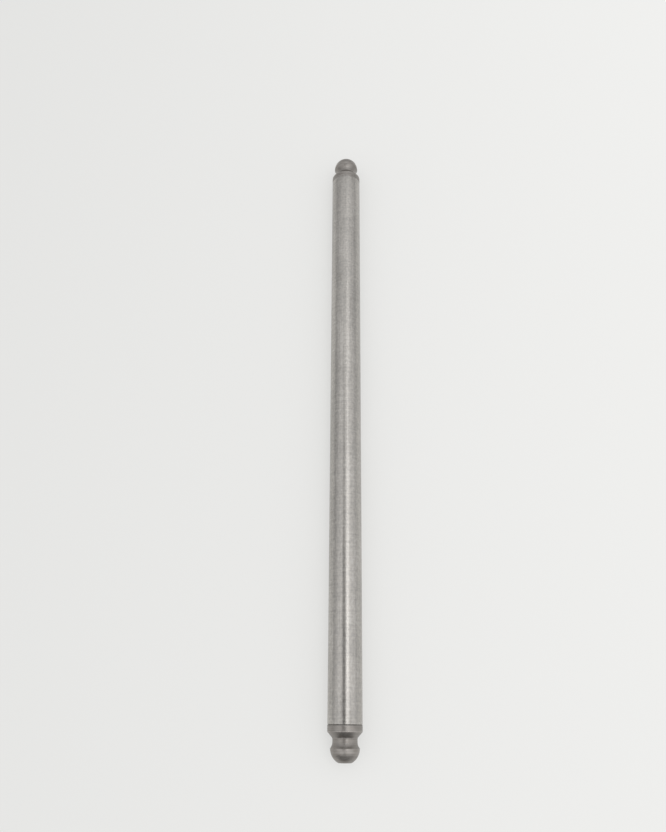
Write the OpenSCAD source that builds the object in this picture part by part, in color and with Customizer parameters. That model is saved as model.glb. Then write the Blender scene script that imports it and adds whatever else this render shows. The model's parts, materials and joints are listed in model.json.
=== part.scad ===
// Engine pushrod with a ball at each end.
// A straight steel tube takes a turned ball tip, pressed into its bore, at either end.
// The rod lies along Y, with the middle of its length on the origin.

/* [Rod] */
// Overall length, from the flat on one ball to the flat on the other
rod_length = 196.85; // [120:0.01:300]
// Outside diameter of the tube, and of the tip bands that carry it on
tube_d = 9.525; // [9:0.005:12.7]
// Wall thickness of the tube
tube_wall = 2.108; // [1.2:0.001:2.8]

/* [Tip] */
// Length of the band that lies flush with the tube
band_length = 1.82; // [1:0.01:6]
// Width of the break on the band's outer edge, measured along each face
band_edge_break = 0.14; // [0.05:0.01:0.3]
// Slope of the shoulder between band and neck, from the rod's axis
shoulder_angle = 42; // [35:1:55]
// Diameter of the neck at its narrowest
neck_d = 6.76; // [5.8:0.01:7.3]
// Radius of the hollow that forms the neck, where it leaves the shoulder
shoulder_radius = 1.1; // [0.8:0.05:1.6]
// Radius of the same hollow where it runs out to the ball
neck_radius = 2.2; // [1.6:0.05:2.8]
// Length of the straight land at the bottom of the hollow
neck_land = 0.6; // [0.05:0.05:1]
// Angle by which the hollow breaks into the shoulder, seen as a faint edge
neck_break_angle = 6; // [3:1:15]

/* [Ball] */
// Diameter of the ball
ball_d = 7.938; // [7.6:0.001:9]
// How far the ball carries on past its equator, towards the neck
ball_past_equator = 0.05; // [0.05:0.05:0.8]
// Diameter of the flat on the ball's end
flat_d = 3.6; // [2.8:0.05:4.6]

/* [Oil passage] */
// Diameter of the oil hole through each tip
oil_hole_d = 1.6; // [1:0.05:2.2]
// Width of the countersink round the mouth of the oil hole
countersink = 0.2; // [0.05:0.05:0.5]

/* [Fit] */
// Length of the spigot inside the tube
spigot_length = 12; // [6:0.5:25]
// Lead-in chamfer on the end of the spigot
spigot_chamfer = 0.4; // [0.1:0.05:0.8]
// Lead-in chamfer inside each mouth of the tube
bore_chamfer = 0.25; // [0.1:0.05:0.6]
// Radial clearance between spigot and tube, nothing for a press fit
press_clearance = 0; // [0:0.005:0.05]
// Chamfer on the two edges that meet at the seam between tube and tip
seam_chamfer = 0.12; // [0.05:0.01:0.3]

/* [Hidden] */
$fn = 96;

tube_r = tube_d / 2;
bore_r = tube_r - tube_wall;
spigot_r = bore_r - press_clearance;
neck_r = neck_d / 2;
ball_r = ball_d / 2;
flat_r = flat_d / 2;
oil_hole_r = oil_hole_d / 2;

// Heights along a tip, counted outwards from the seam.
land_start_r = neck_r + shoulder_radius;
hollow_entry_angle = shoulder_angle + neck_break_angle;
hollow_entry_r = land_start_r - shoulder_radius * cos(hollow_entry_angle);
hollow_entry = band_length + (tube_r - hollow_entry_r) / tan(shoulder_angle);
land_start = hollow_entry + shoulder_radius * sin(hollow_entry_angle);
hollow_centre_r = neck_r + neck_radius;
land_end = land_start + neck_land;
crease_r = sqrt(pow(ball_r, 2) - pow(ball_past_equator, 2));
crease = land_end + sqrt(pow(neck_radius, 2) - pow(hollow_centre_r - crease_r, 2));
ball_centre = crease + ball_past_equator;
tip_length = ball_centre + sqrt(pow(ball_r, 2) - pow(flat_r, 2));

// Deepest point of the shoulder's own slope inside the hollow that cuts it away.
slope_depth = shoulder_radius * cos(neck_break_angle);
slope_end = land_start - slope_depth * sin(shoulder_angle);
slope_end_r = land_start_r - slope_depth * cos(shoulder_angle);

// Middle of the overlap of ball and hollow, where the stock hands over to the ball.
centres_apart = sqrt(pow(hollow_centre_r, 2) + pow(ball_centre - land_end, 2));
core_reach = (ball_r + centres_apart - neck_radius) / 2;
core_r = core_reach * hollow_centre_r / centres_apart;
core_end = ball_centre - core_reach * (ball_centre - land_end) / centres_apart;

tube_length = rod_length - 2 * tip_length;

// Section of the tube: a straight wall, chamfered outside at the seams and inside at its mouths.
module tube_section() {
    half = tube_length / 2;
    polygon([
        [bore_r, bore_chamfer - half],
        [bore_r + bore_chamfer, -half],
        [tube_r - seam_chamfer, -half],
        [tube_r, seam_chamfer - half],
        [tube_r, half - seam_chamfer],
        [tube_r - seam_chamfer, half],
        [bore_r + bore_chamfer, half],
        [bore_r, half - bore_chamfer]
    ]);
}

// Section of the turned stock: spigot, band, shoulder and the core under the neck.
module stock_section() {
    polygon([
        [0, -spigot_length],
        [spigot_r - spigot_chamfer, -spigot_length],
        [spigot_r, -spigot_length + spigot_chamfer],
        [spigot_r, 0],
        [tube_r - seam_chamfer, 0],
        [tube_r, seam_chamfer],
        [tube_r, band_length - band_edge_break],
        [
            tube_r - band_edge_break * sin(shoulder_angle),
            band_length + band_edge_break * cos(shoulder_angle)
        ],
        [slope_end_r, slope_end],
        [core_r, core_end],
        [0, ball_centre]
    ]);
}

// Section of the ball, cut off by its flat.
module ball_section() {
    intersection() {
        translate([0, ball_centre]) circle(ball_r);
        square([ball_d, tip_length]);
    }
}

// Section of the hollow: a tight round and a wide one, with the land between them.
module hollow_section() {
    translate([land_start_r, land_start]) circle(shoulder_radius);
    translate([hollow_centre_r, land_end]) circle(neck_radius);
    polygon([
        [neck_r, land_start],
        [neck_r, land_end],
        [hollow_centre_r, land_end],
        [land_start_r, land_start]
    ]);
}

// Section of the oil hole: a straight drilling, countersunk at its mouth in the flat.
module oil_hole_section() {
    beyond = 1;
    polygon([
        [0, -spigot_length - beyond],
        [oil_hole_r, -spigot_length - beyond],
        [oil_hole_r, tip_length - countersink],
        [oil_hole_r + countersink + beyond, tip_length + beyond],
        [0, tip_length + beyond]
    ]);
}

// Ball tip, standing on its seam with the ball upwards.
module tip() {
    rotate_extrude() difference() {
        union() {
            stock_section();
            ball_section();
        }
        hollow_section();
        oil_hole_section();
    }
}

module tube() {
    color([0.68, 0.67, 0.65]) rotate([-90, 0, 0]) rotate_extrude() tube_section();
}

module lower_tip() {
    color([0.59, 0.58, 0.56]) translate([0, -tube_length / 2, 0]) rotate([90, 0, 0]) tip();
}

module upper_tip() {
    color([0.59, 0.58, 0.56]) translate([0, tube_length / 2, 0]) rotate([-90, 0, 0]) tip();
}

tube();
lower_tip();
upper_tip();
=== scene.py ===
# Looks of an engine pushrod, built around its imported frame.
# Its three steel pieces get finer meshes with softened edges and turning grooves, and steel finishes.
import json
import math

import bmesh
import bpy
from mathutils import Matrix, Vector


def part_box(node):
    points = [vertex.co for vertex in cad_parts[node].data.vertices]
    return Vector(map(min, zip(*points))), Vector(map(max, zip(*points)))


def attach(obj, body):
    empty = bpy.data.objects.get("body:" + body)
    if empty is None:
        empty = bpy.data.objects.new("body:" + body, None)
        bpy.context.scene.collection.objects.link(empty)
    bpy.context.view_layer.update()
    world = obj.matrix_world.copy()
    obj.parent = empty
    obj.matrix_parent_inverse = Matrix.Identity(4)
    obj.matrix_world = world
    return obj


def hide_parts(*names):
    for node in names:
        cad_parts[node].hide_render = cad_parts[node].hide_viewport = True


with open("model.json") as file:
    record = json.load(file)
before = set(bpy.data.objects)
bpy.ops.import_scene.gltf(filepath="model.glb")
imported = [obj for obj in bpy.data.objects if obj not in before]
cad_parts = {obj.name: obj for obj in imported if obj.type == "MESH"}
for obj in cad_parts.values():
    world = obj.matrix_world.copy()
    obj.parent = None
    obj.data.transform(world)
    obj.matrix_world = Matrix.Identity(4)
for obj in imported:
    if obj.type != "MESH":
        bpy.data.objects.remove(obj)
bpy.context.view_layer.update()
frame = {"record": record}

MM = 0.001

# Places and sizes that the frame gives, as heights along the rod from its middle and radii from its axis
mounts = {mount["name"]: mount for mount in frame["record"]["mounts"]}
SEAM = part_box("tube")[1].y
SPIGOT_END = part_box("upper_tip")[0].y
ROD_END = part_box("upper_tip")[1].y
BALL_CENTRE = mounts["upper_ball"]["pos_m"][1]
TUBE_RADIUS = mounts["shank"]["dims"]["r_mm"] * MM
OIL_HOLE_RADIUS = mounts["upper_oil_hole"]["dims"]["r_mm"] * MM

# Sizes that only the drawing gives
TUBE_WALL = 2.108 * MM
BORE_CHAMFER = 0.25 * MM
SPIGOT_CHAMFER = 0.4 * MM
BAND_EDGE_BREAK = 0.14 * MM
SHOULDER_ANGLE = math.radians(42)
SHOULDER_RADIUS = 1.1 * MM
NECK_RADIUS = 3.38 * MM
NECK_LAND = 0.6 * MM
HOLLOW_RADIUS = 2.2 * MM
HOLLOW_BREAK_ANGLE = math.radians(6)
BALL_RADIUS = 3.969 * MM
BALL_PAST_EQUATOR = 0.05 * MM
COUNTERSINK = 0.2 * MM

# Rounds that take the place of the drawing's chamfers at the seams and of the break on the band's edge
TUBE_END_ROUND = 0.1 * MM
SEAM_ROUND = 0.28 * MM
BAND_EDGE_ROUND = BAND_EDGE_BREAK / math.tan(SHOULDER_ANGLE / 2)

# Sizes that follow from those above
BORE_RADIUS = TUBE_RADIUS - TUBE_WALL
CREASE = BALL_CENTRE - BALL_PAST_EQUATOR
CREASE_RADIUS = math.sqrt(BALL_RADIUS**2 - BALL_PAST_EQUATOR**2)
FLAT_RADIUS = math.sqrt(BALL_RADIUS**2 - (ROD_END - BALL_CENTRE) ** 2)
HOLLOW_CENTRE_RADIUS = NECK_RADIUS + HOLLOW_RADIUS
LAND_END = CREASE - math.sqrt(HOLLOW_RADIUS**2 - (HOLLOW_CENTRE_RADIUS - CREASE_RADIUS) ** 2)
LAND_START = LAND_END - NECK_LAND
LAND_START_RADIUS = NECK_RADIUS + SHOULDER_RADIUS
HOLLOW_ENTRY_ANGLE = SHOULDER_ANGLE + HOLLOW_BREAK_ANGLE
HOLLOW_ENTRY = LAND_START - SHOULDER_RADIUS * math.sin(HOLLOW_ENTRY_ANGLE)
HOLLOW_ENTRY_RADIUS = LAND_START_RADIUS - SHOULDER_RADIUS * math.cos(HOLLOW_ENTRY_ANGLE)
BAND_END = HOLLOW_ENTRY - (TUBE_RADIUS - HOLLOW_ENTRY_RADIUS) / math.tan(SHOULDER_ANGLE)

# How finely the meshes are made
SEGMENTS = 192
OUTSIDE_SPACING = 2 * MM
INSIDE_SPACING = 4 * MM
ARC_STEP = math.radians(2.5)
SMALL_ARC_STEP = math.radians(9)
SHARP_ANGLE = math.radians(40)

# Small rounds on the corners that turn by more than an angle, in no more than a part of the sides they join
CORNER_ANGLE = math.radians(12)
CORNER_RADIUS = 0.05 * MM
CORNER_STEPS = 4
CORNER_MARGIN = 1.4
CORNER_SIDE_PARTS = 3

# Grooves that the turning tool leaves on a band, each deeper or shallower than the one before
GROOVE_PITCH = 0.3 * MM
GROOVE_DEPTH = 0.01 * MM
GROOVE_STEPS = 8
GROOVE_MEAN = 0.7
GROOVE_CHANGE = 0.3
GROOVE_CHANGE_RATE = 2

# Grain sizes of the finishes, across the rod and along it
STREAK_GRAIN = (0.35 * MM, 25 * MM)
GRINDING_GRAIN = (7 * MM, 0.4 * MM)
MOTTLE_GRAIN = (0.6 * MM, 0.8 * MM)
PATCH_GRAIN = (5 * MM, 16 * MM)
TURNING_GRAIN = (12 * MM, 0.16 * MM)
STAIN_GRAIN = (2.2 * MM, 1.6 * MM)
PLAIN_DETAIL = 2.0
FINE_DETAIL = 4.0

# Parts of a noise's range that its colours and its other values are spread over
SHADES_START = 0.4
SHADES_END = 0.6
NOISE_LOW = 0.3
NOISE_HIGH = 0.7

# Ground finish of the tube, with each tone's warmth and level
MOTTLE_SHARE = 0.4
STREAK_SHARE = 0.2
GRINDING_SHARE = 0.2
PATCH_SHARE = 0.2
GROUND_TONES = [(0.03, 0.8), (0.005, 0.94), (0.025, 1.05), (0.005, 1.21)]
GROUND_ROUGHNESS = (0.28, 0.34)
MOTTLE_DEPTH = 0.015 * MM
GRINDING_DEPTH = 0.006 * MM
GROUND_ANISOTROPY = 0.6
GROUND_QUARTER_TURN = 0.25

# Turned finish of the tips, with each tone's warmth and level
TURNING_SHARE = 0.5
STAIN_SHARE = 0.5
TURNED_TONES = [(0.05, 0.8), (0.0, 0.95), (0.03, 1.02), (0.0, 1.17)]
TURNED_ROUGHNESS = (0.35, 0.45)
STAIN_DEPTH = 0.012 * MM
TURNING_DEPTH = 0.006 * MM

# Painted highlights that lighten a tip's band edge and ball, a darker ring at its seam, and painted shade
# that darkens its hollow
EDGE_HIGHLIGHT = 0.3
EDGE_HIGHLIGHT_REACH = 0.1 * MM
BALL_HIGHLIGHT = 0.12
BALL_HIGHLIGHT_REACH = 0.9 * MM
BALL_HIGHLIGHT_FADE = 0.6 * MM
SEAM_DARKENING = -0.15
SEAM_DARKENING_FADE = 0.1 * MM
PAINTED_HOLLOW_SHADE = -0.07
PAINTED_HOLLOW_SHADE_FADE = 0.3 * MM

# Floor, whose glow grows from left to right over the reach on either side of the rod: painted light and
# shade, darker on the left and lighter on the right
FLOOR_SIZE = 6.0
FLOOR_COLOUR = (0.3, 0.3, 0.297, 1)
FLOOR_ROUGHNESS = 0.9
FLOOR_GLOW_COLOUR = (1, 1, 0.98, 1)
FLOOR_GLOW_LEFT = 0.475
FLOOR_GLOW_RIGHT = 0.555
FLOOR_GLOW_REACH = 0.16

# Light from the room
ROOM_COLOUR = (1, 1, 1, 1)
ROOM_BRIGHT_SIDE = Vector((0.1, -0.5, 0.86))
ROOM_DIM = 0.5
ROOM_BRIGHT = 1.1
ROOM_DIM_UNTIL = -0.3
ROOM_BRIGHT_FROM = 0.8

# Lamp that draws the bright streak
STREAK_LAMP_PLACE = Vector((0.21, 0.05, 0.7))
STREAK_LAMP_SIZE = (0.25, 1.4)
STREAK_LAMP_LEVEL = 2.2
STREAK_LAMP_SPREAD = math.radians(66)

# Cards over the rod, over its near end and on towards its far end
OVERHEAD_CARD_HEIGHT = 0.22
NEAR_CARD = [
    (-0.077, -0.1),
    (-0.04, -0.17),
    (-0.06, -0.36),
    (0.03, -0.36),
    (0.0, -0.17),
    (0.032, -0.1),
    (0.0216, -0.075),
    (-0.075, -0.075),
]
NEAR_CARD_COLOUR = (0.34, 0.34, 0.34, 1)
FAR_CARD = [(-0.075, -0.075), (0.0216, -0.075), (-0.055, 0.11), (-0.06, 0.11)]
FAR_CARD_COLOUR = (0.9, 0.9, 0.9, 1)

# Cards before the rod, one flat on the floor and one that stands at its end
FRONT_CARD_HEIGHT = -0.0045
FRONT_CARD = [(-0.06, -0.125), (0.06, -0.125), (0.5, -0.5), (-0.5, -0.5)]
LOW_CARD = [(-0.5, -0.5, -0.005), (0.5, -0.5, -0.005), (0.45, -0.5, 0.31), (-0.45, -0.5, 0.31)]
LOW_CARD_COLOUR = (0.43, 0.43, 0.43, 1)

# Camera
CAMERA_EYE = Vector((-3.2245, -88.1899, 221.6812)) * MM
CAMERA_TILT = math.radians(21.755)
CAMERA_TURN = math.radians(0.4525)
CAMERA_LENS = 33.1
CAMERA_CLIP = 1 * MM


def point(height, radius):
    """A point of a section: its height along the rod and its distance from the axis."""
    return Vector((height, radius))


def mirrored(points):
    """Points of a section, carried over to the other half of the rod."""
    return [point(-corner.x, corner.y) for corner in points]


def run(start, end, spacing):
    """Evenly spaced points from start up to end, without end itself."""
    steps = max(1, round((end - start).length / spacing))
    return [start.lerp(end, step / steps) for step in range(steps)]


def arc(centre, radius, start_angle, end_angle, step_angle=ARC_STEP):
    """Points on a circle, with angles counted from the outward direction towards greater heights."""
    steps = math.ceil(abs(end_angle - start_angle) / step_angle)
    points = []
    for step in range(steps + 1):
        angle = start_angle + (end_angle - start_angle) * step / steps
        points.append(centre + point(math.sin(angle), math.cos(angle)) * radius)
    return points


def grooved(start, end, radius):
    """Points along a turned cylinder, with the shallow grooves of the tool, some deeper than others."""
    count = round((end - start) / GROOVE_PITCH)
    points = []
    for step in range(count * GROOVE_STEPS + 1):
        turn = step / GROOVE_STEPS
        depth = GROOVE_DEPTH * (GROOVE_MEAN + GROOVE_CHANGE * math.sin(GROOVE_CHANGE_RATE * turn))
        dip = depth * (1 - math.cos(2 * math.pi * turn)) / 2
        points.append(point(start + (end - start) * turn / count, radius - dip))
    return points


def softened(profile):
    """The closed profile with a small round on every corner."""
    points = []
    for before, corner, after in zip(profile[-1:] + profile[:-1], profile, profile[1:] + profile[:1]):
        back = before - corner
        forth = after - corner
        turn = math.pi - back.angle(forth)
        if turn < CORNER_ANGLE:
            points.append(corner)
            continue
        room = min(back.length, forth.length) / CORNER_SIDE_PARTS
        reach = min(CORNER_RADIUS * math.tan(turn / 2), room)
        back.normalize()
        forth.normalize()
        points.append(corner + back * reach * CORNER_MARGIN)
        for step in range(CORNER_STEPS + 1):
            share = step / CORNER_STEPS
            points.append(corner + back * reach * (1 - share) ** 2 + forth * reach * share**2)
        points.append(corner + forth * reach * CORNER_MARGIN)
    return points


def tube_section():
    """Section of the tube: along the outside, and back through the bore."""
    end_round = point(SEAM - TUBE_END_ROUND, TUBE_RADIUS - TUBE_END_ROUND)
    half = [
        *run(point(0, TUBE_RADIUS), point(SEAM - TUBE_END_ROUND, TUBE_RADIUS), OUTSIDE_SPACING),
        *arc(end_round, TUBE_END_ROUND, 0, math.pi / 2, SMALL_ARC_STEP),
        point(SEAM, BORE_RADIUS + BORE_CHAMFER),
        *run(point(SEAM - BORE_CHAMFER, BORE_RADIUS), point(0, BORE_RADIUS), INSIDE_SPACING),
        point(0, BORE_RADIUS),
    ]
    return softened(half + mirrored(half[-2:0:-1]))


def tip_section():
    """Section of a tip: round the outside from the spigot to the flat, and back through the oil hole."""
    seam_round = point(SEAM + SEAM_ROUND, TUBE_RADIUS - SEAM_ROUND)
    edge_round = point(BAND_END - BAND_EDGE_BREAK, TUBE_RADIUS - BAND_EDGE_ROUND)
    hollow_start = point(LAND_START, LAND_START_RADIUS)
    hollow_end = point(LAND_END, HOLLOW_CENTRE_RADIUS)
    crease_angle = math.pi - math.asin((CREASE - LAND_END) / HOLLOW_RADIUS)
    ball_start = math.asin((CREASE - BALL_CENTRE) / BALL_RADIUS)
    ball_end = math.acos(FLAT_RADIUS / BALL_RADIUS)
    spigot = point(SPIGOT_END + SPIGOT_CHAMFER, BORE_RADIUS)
    hole_mouth = point(ROD_END - COUNTERSINK, OIL_HOLE_RADIUS)
    hole_end = point(SPIGOT_END, OIL_HOLE_RADIUS)
    return softened([
        point(SPIGOT_END, BORE_RADIUS - SPIGOT_CHAMFER),
        *run(spigot, point(SEAM, BORE_RADIUS), INSIDE_SPACING),
        point(SEAM, BORE_RADIUS),
        *arc(seam_round, SEAM_ROUND, -math.pi / 2, 0, SMALL_ARC_STEP)[:-1],
        *grooved(SEAM + SEAM_ROUND, BAND_END - BAND_EDGE_BREAK, TUBE_RADIUS)[:-1],
        *arc(edge_round, BAND_EDGE_ROUND, 0, SHOULDER_ANGLE, SMALL_ARC_STEP),
        *arc(hollow_start, SHOULDER_RADIUS, math.pi + HOLLOW_ENTRY_ANGLE, math.pi),
        *arc(hollow_end, HOLLOW_RADIUS, math.pi, crease_angle)[:-1],
        *arc(point(BALL_CENTRE, 0), BALL_RADIUS, ball_start, ball_end),
        point(ROD_END, OIL_HOLE_RADIUS + COUNTERSINK),
        *run(hole_mouth, hole_end, INSIDE_SPACING),
        hole_end,
    ])


def linked(name, mesh, material):
    """A new object with that mesh and material."""
    mesh.materials.append(material)
    made = bpy.data.objects.new(name, mesh)
    bpy.context.scene.collection.objects.link(made)
    return made


def lathe(name, section, material):
    """Turns a closed section round the rod's axis into a mesh object."""
    shape = bmesh.new()
    circles = []
    for height, radius in section:
        circle = []
        for step in range(SEGMENTS):
            angle = 2 * math.pi * step / SEGMENTS
            circle.append(shape.verts.new((radius * math.cos(angle), height, radius * math.sin(angle))))
        circles.append(circle)
    for circle, after in zip(circles, circles[1:] + circles[:1]):
        for step in range(SEGMENTS):
            beside = (step + 1) % SEGMENTS
            shape.faces.new((circle[step], after[step], after[beside], circle[beside]))
    bmesh.ops.recalc_face_normals(shape, faces=shape.faces)
    for face in shape.faces:
        face.smooth = True
    mesh = bpy.data.meshes.new(name)
    shape.to_mesh(mesh)
    shape.free()
    mesh.set_sharp_from_angle(angle=SHARP_ANGLE)
    return linked(name, mesh, material)


def add(tree, kind, inputs, **settings):
    """Adds a node. An input that is a socket gets a link, and any other is set on the node."""
    node = tree.nodes.new(kind)
    for name, value in settings.items():
        setattr(node, name, value)
    for name, value in inputs.items():
        if isinstance(value, bpy.types.NodeSocket):
            tree.links.new(value, node.inputs[name])
        else:
            node.inputs[name].default_value = value
    return node


def place_on_object(tree):
    """Coordinates of the object, which are those of the frame."""
    return add(tree, "ShaderNodeTexCoord", {}).outputs["Object"]


def grain(tree, size, detail=PLAIN_DETAIL):
    """Noise with grains of that size across the rod and along it."""
    across, along = size
    inputs = {"Vector": place_on_object(tree), "Scale": (1 / across, 1 / along, 1 / across)}
    stretched = add(tree, "ShaderNodeMapping", inputs).outputs["Vector"]
    noise = add(tree, "ShaderNodeTexNoise", {"Vector": stretched, "Scale": 1.0, "Detail": detail})
    return noise.outputs["Fac"]


def spread(tree, value, source, target, **settings):
    """A value whose source range is spread over the target range."""
    inputs = {"Value": value}
    inputs["From Min"], inputs["From Max"] = source
    inputs["To Min"], inputs["To Max"] = target
    return add(tree, "ShaderNodeMapRange", inputs, **settings).outputs["Result"]


def between(tree, noise, levels):
    """The middle range of a noise, spread from the lower level to the higher."""
    return spread(tree, noise, (NOISE_LOW, NOISE_HIGH), levels)


def ring(tree, start, end, fade):
    """One between two heights on either half of the rod, fading to nothing beyond them."""
    along = add(tree, "ShaderNodeSeparateXYZ", {"Vector": place_on_object(tree)}).outputs["Y"]
    height = add(tree, "ShaderNodeMath", {0: along}, operation="ABSOLUTE").outputs["Value"]
    rise = spread(tree, height, (start - fade, start), (0.0, 1.0))
    fall = spread(tree, height, (end, end + fade), (1.0, 0.0))
    return add(tree, "ShaderNodeMath", {0: rise, 1: fall}, operation="MULTIPLY").outputs["Value"]


def mixed(tree, *parts, base=0.0):
    """A base with the sum of several patterns on top, each with its own weight."""
    total = base
    for pattern, weight in parts:
        inputs = {0: pattern, 1: weight, 2: total}
        total = add(tree, "ShaderNodeMath", inputs, operation="MULTIPLY_ADD").outputs["Value"]
    return total


def shades(tree, value, colours):
    """Colours spread over the middle range of a noise."""
    node = add(tree, "ShaderNodeValToRGB", {"Fac": value})
    ramp = node.color_ramp
    while len(ramp.elements) < len(colours):
        ramp.elements.new((SHADES_START + SHADES_END) / 2)
    step = (SHADES_END - SHADES_START) / (len(colours) - 1)
    for index, colour in enumerate(colours):
        ramp.elements[index].position = SHADES_START + step * index
        ramp.elements[index].color = (*colour, 1)
    return node.outputs["Color"]


def bumped(tree, height, depth, normal=None):
    """Bump of that depth, on top of an earlier one."""
    inputs = {"Height": height, "Distance": depth, "Strength": 1.0}
    if normal is not None:
        inputs["Normal"] = normal
    return add(tree, "ShaderNodeBump", inputs).outputs["Normal"]


def slot_tones(slot, tones):
    """Tones of a material slot's colour, each made warmer or cooler and lighter or darker."""
    found = next(entry for entry in frame["record"]["materials"] if entry["slot"] == slot)
    red, green, blue = found["base_color"]
    made = []
    for warmth, level in tones:
        made.append(Vector((red * (1 + warmth), green, blue * (1 - warmth))) * level)
    return made


def plain_material(name):
    """A new material. Returns the material, its tree and its shader."""
    material = bpy.data.materials.new(name)
    material.use_nodes = True
    tree = material.node_tree
    return material, tree, tree.nodes["Principled BSDF"]


def steel(tree, shader, colour, roughness, normal):
    """Makes the shader a metal with that colour, roughness and bump."""
    shader.inputs["Metallic"].default_value = 1.0
    tree.links.new(colour, shader.inputs["Base Color"])
    tree.links.new(roughness, shader.inputs["Roughness"])
    tree.links.new(normal, shader.inputs["Normal"])


def ground_steel():
    """Finish of the tube: ground across, faintly streaked along, mottled, in warm and cool patches."""
    material, tree, shader = plain_material("ground_steel")
    streaks = grain(tree, STREAK_GRAIN)
    mottle = grain(tree, MOTTLE_GRAIN, FINE_DETAIL)
    grinding = grain(tree, GRINDING_GRAIN)
    patches = grain(tree, PATCH_GRAIN)
    pattern = mixed(
        tree,
        (mottle, MOTTLE_SHARE),
        (streaks, STREAK_SHARE),
        (grinding, GRINDING_SHARE),
        (patches, PATCH_SHARE),
    )
    colour = shades(tree, pattern, slot_tones("tube_steel", GROUND_TONES))
    normal = bumped(tree, mottle, MOTTLE_DEPTH)
    normal = bumped(tree, grinding, GRINDING_DEPTH, normal)
    steel(tree, shader, colour, between(tree, mottle, GROUND_ROUGHNESS), normal)
    shader.inputs["Anisotropic"].default_value = GROUND_ANISOTROPY
    shader.inputs["Anisotropic Rotation"].default_value = GROUND_QUARTER_TURN
    around = add(tree, "ShaderNodeTangent", {}, direction_type="RADIAL", axis="Y").outputs["Tangent"]
    tree.links.new(around, shader.inputs["Tangent"])
    return material


def with_painted_light_and_darker_seam(tree, colour):
    """A tip's colour with painted highlights on its band's edge and ball, painted shade in its hollow, and
    a darker ring at its seam.
    """
    # A darker ring on the tip's seam round, next to the tube
    seam_darkening = ring(tree, SEAM, SEAM + SEAM_ROUND, SEAM_DARKENING_FADE)
    # Painted highlight: a lighter ring along the band's lower edge
    edge_highlight = ring(tree, BAND_END - EDGE_HIGHLIGHT_REACH, BAND_END, EDGE_HIGHLIGHT_REACH)
    # Painted shade: a darker ring in the hollow between the neck and the ball
    hollow_start = LAND_END + PAINTED_HOLLOW_SHADE_FADE
    painted_hollow_shade = ring(tree, hollow_start, CREASE - PAINTED_HOLLOW_SHADE_FADE / 2, PAINTED_HOLLOW_SHADE_FADE)
    # Painted highlight: a lighter ring round the ball, just beyond its widest part
    ball_highlight = ring(tree, CREASE + BALL_HIGHLIGHT_FADE, CREASE + BALL_HIGHLIGHT_REACH, BALL_HIGHLIGHT_FADE)
    level = mixed(
        tree,
        (seam_darkening, SEAM_DARKENING),
        (painted_hollow_shade, PAINTED_HOLLOW_SHADE),
        (edge_highlight, EDGE_HIGHLIGHT),
        (ball_highlight, BALL_HIGHLIGHT),
        base=1.0,
    )
    return add(tree, "ShaderNodeHueSaturation", {"Color": colour, "Value": level}).outputs["Color"]


def turned_steel():
    """Finish of the tips: turned and hardened, duller than the tube, with fine rings and stains, painted
    highlights on the band's edge and ball, painted shade in the hollow, and a darker seam.
    """
    material, tree, shader = plain_material("turned_steel")
    turning = grain(tree, TURNING_GRAIN)
    stains = grain(tree, STAIN_GRAIN, FINE_DETAIL)
    pattern = mixed(tree, (turning, TURNING_SHARE), (stains, STAIN_SHARE))
    colour = with_painted_light_and_darker_seam(tree, shades(tree, pattern, slot_tones("tip_steel", TURNED_TONES)))
    normal = bumped(tree, stains, STAIN_DEPTH)
    normal = bumped(tree, turning, TURNING_DEPTH, normal)
    steel(tree, shader, colour, between(tree, stains, TURNED_ROUGHNESS), normal)
    return material


def rod():
    """The three pieces of the rod, each in the place of its node."""
    tube_finish = ground_steel()
    tip_finish = turned_steel()
    tip = tip_section()
    for node, section, finish, slot in (
        ("tube", tube_section(), tube_finish, "tube_steel"),
        ("lower_tip", mirrored(tip), tip_finish, "tip_steel"),
        ("upper_tip", tip, tip_finish, "tip_steel"),
    ):
        piece = lathe(f"finished_{node}", section, finish)
        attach(piece, "root")
        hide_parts(node)


def flat_piece(name, corners, material):
    """One flat face of the studio, which isn't part of the object."""
    mesh = bpy.data.meshes.new(name)
    mesh.from_pydata(corners, [], [range(len(corners))])
    piece = linked(name, mesh, material)
    return piece


def level_at(height, corners):
    """Corners that all lie at one height."""
    return [(x, y, height) for x, y in corners]


def matt_material(name, colour):
    """A new material of one colour with no gloss. Returns the material, its tree and its shader."""
    material, tree, shader = plain_material(name)
    shader.inputs["Base Color"].default_value = colour
    shader.inputs["Specular IOR Level"].default_value = 0.0
    return material, tree, shader


def pale_floor():
    """Pale floor under the rod. What looks at it sees it lighter than its light makes it."""
    material, tree, shader = matt_material("pale_floor", FLOOR_COLOUR)
    shader.inputs["Roughness"].default_value = FLOOR_ROUGHNESS
    path = add(tree, "ShaderNodeLightPath", {}).outputs
    looks = path["Is Camera Ray"]
    for kind in ("Is Glossy Ray", "Is Transmission Ray"):
        looks = add(tree, "ShaderNodeMath", {0: looks, 1: path[kind]}, operation="MAXIMUM").outputs["Value"]
    # Painted light and shade on the floor: less glow on the left, more on the right
    across = add(tree, "ShaderNodeSeparateXYZ", {"Vector": place_on_object(tree)}).outputs["X"]
    reach = (-FLOOR_GLOW_REACH, FLOOR_GLOW_REACH)
    level = spread(tree, across, reach, (FLOOR_GLOW_LEFT, FLOOR_GLOW_RIGHT))
    glow = add(tree, "ShaderNodeMath", {0: looks, 1: level}, operation="MULTIPLY").outputs["Value"]
    tree.links.new(glow, shader.inputs["Emission Strength"])
    shader.inputs["Emission Color"].default_value = FLOOR_GLOW_COLOUR
    half = FLOOR_SIZE / 2
    corners = [(-half, -half), (half, -half), (half, half), (-half, half)]
    flat_piece("floor", level_at(-TUBE_RADIUS, corners), material)


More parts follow.
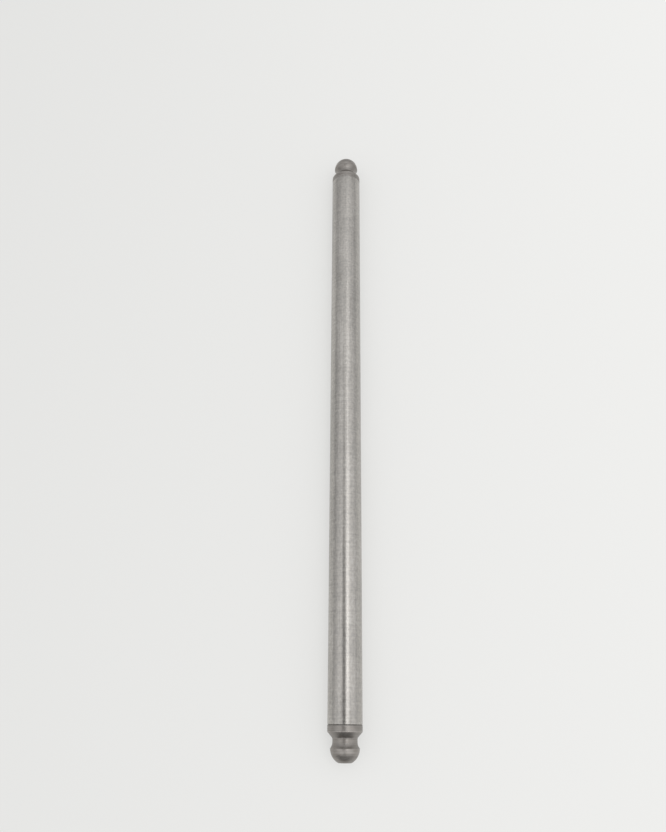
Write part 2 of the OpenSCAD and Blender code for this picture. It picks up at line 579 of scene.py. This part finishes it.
def soft_room():
    """Light from all round, brighter above and behind the camera than along the horizon."""
    world = bpy.data.worlds.new("soft_room")
    bpy.context.scene.world = world
    world.use_nodes = True
    tree = world.node_tree
    background = tree.nodes["Background"]
    direction = add(tree, "ShaderNodeTexCoord", {}).outputs["Generated"]
    inputs = {0: direction, 1: ROOM_BRIGHT_SIDE}
    side = add(tree, "ShaderNodeVectorMath", inputs, operation="DOT_PRODUCT").outputs["Value"]
    source = (ROOM_DIM_UNTIL, ROOM_BRIGHT_FROM)
    level = spread(tree, side, source, (ROOM_DIM, ROOM_BRIGHT), interpolation_type="SMOOTHSTEP")
    tree.links.new(level, background.inputs["Strength"])
    background.inputs["Color"].default_value = ROOM_COLOUR


def streak_lamp():
    """A long soft lamp overhead that faces straight down, and draws a bright streak along the rod."""
    lamp = bpy.data.lights.new("streak_lamp", "AREA")
    lamp.shape = "RECTANGLE"
    lamp.size, lamp.size_y = STREAK_LAMP_SIZE
    lamp.spread = STREAK_LAMP_SPREAD
    half_spread = STREAK_LAMP_SPREAD / 2
    kept = 1 - half_spread / math.tan(half_spread)
    lamp.energy = STREAK_LAMP_LEVEL * math.pi * lamp.size * lamp.size_y * kept
    holder = bpy.data.objects.new("streak_lamp", lamp)
    holder.location = STREAK_LAMP_PLACE
    bpy.context.scene.collection.objects.link(holder)


def card(name, corners, colour):
    """A card, darker than the room, that only the steel sees, in its reflections."""
    material, _, _ = matt_material(name, colour)
    piece = flat_piece(name, corners, material)
    piece.visible_camera = False
    piece.visible_diffuse = False
    piece.visible_shadow = False


def camera():
    """The camera at the photograph's viewing angle."""
    eye = bpy.data.objects.new("camera", bpy.data.cameras.new("camera"))
    eye.location = CAMERA_EYE
    eye.rotation_euler = (CAMERA_TILT, 0, CAMERA_TURN)
    eye.data.lens = CAMERA_LENS
    eye.data.clip_start = CAMERA_CLIP
    bpy.context.scene.collection.objects.link(eye)
    bpy.context.scene.camera = eye


bpy.context.scene.view_settings.view_transform = "Standard"
rod()
pale_floor()
soft_room()
streak_lamp()
card("near_card", level_at(OVERHEAD_CARD_HEIGHT, NEAR_CARD), NEAR_CARD_COLOUR)
card("far_card", level_at(OVERHEAD_CARD_HEIGHT, FAR_CARD), FAR_CARD_COLOUR)
card("front_card", level_at(FRONT_CARD_HEIGHT, FRONT_CARD), LOW_CARD_COLOUR)
card("low_card", LOW_CARD, LOW_CARD_COLOUR)
camera()
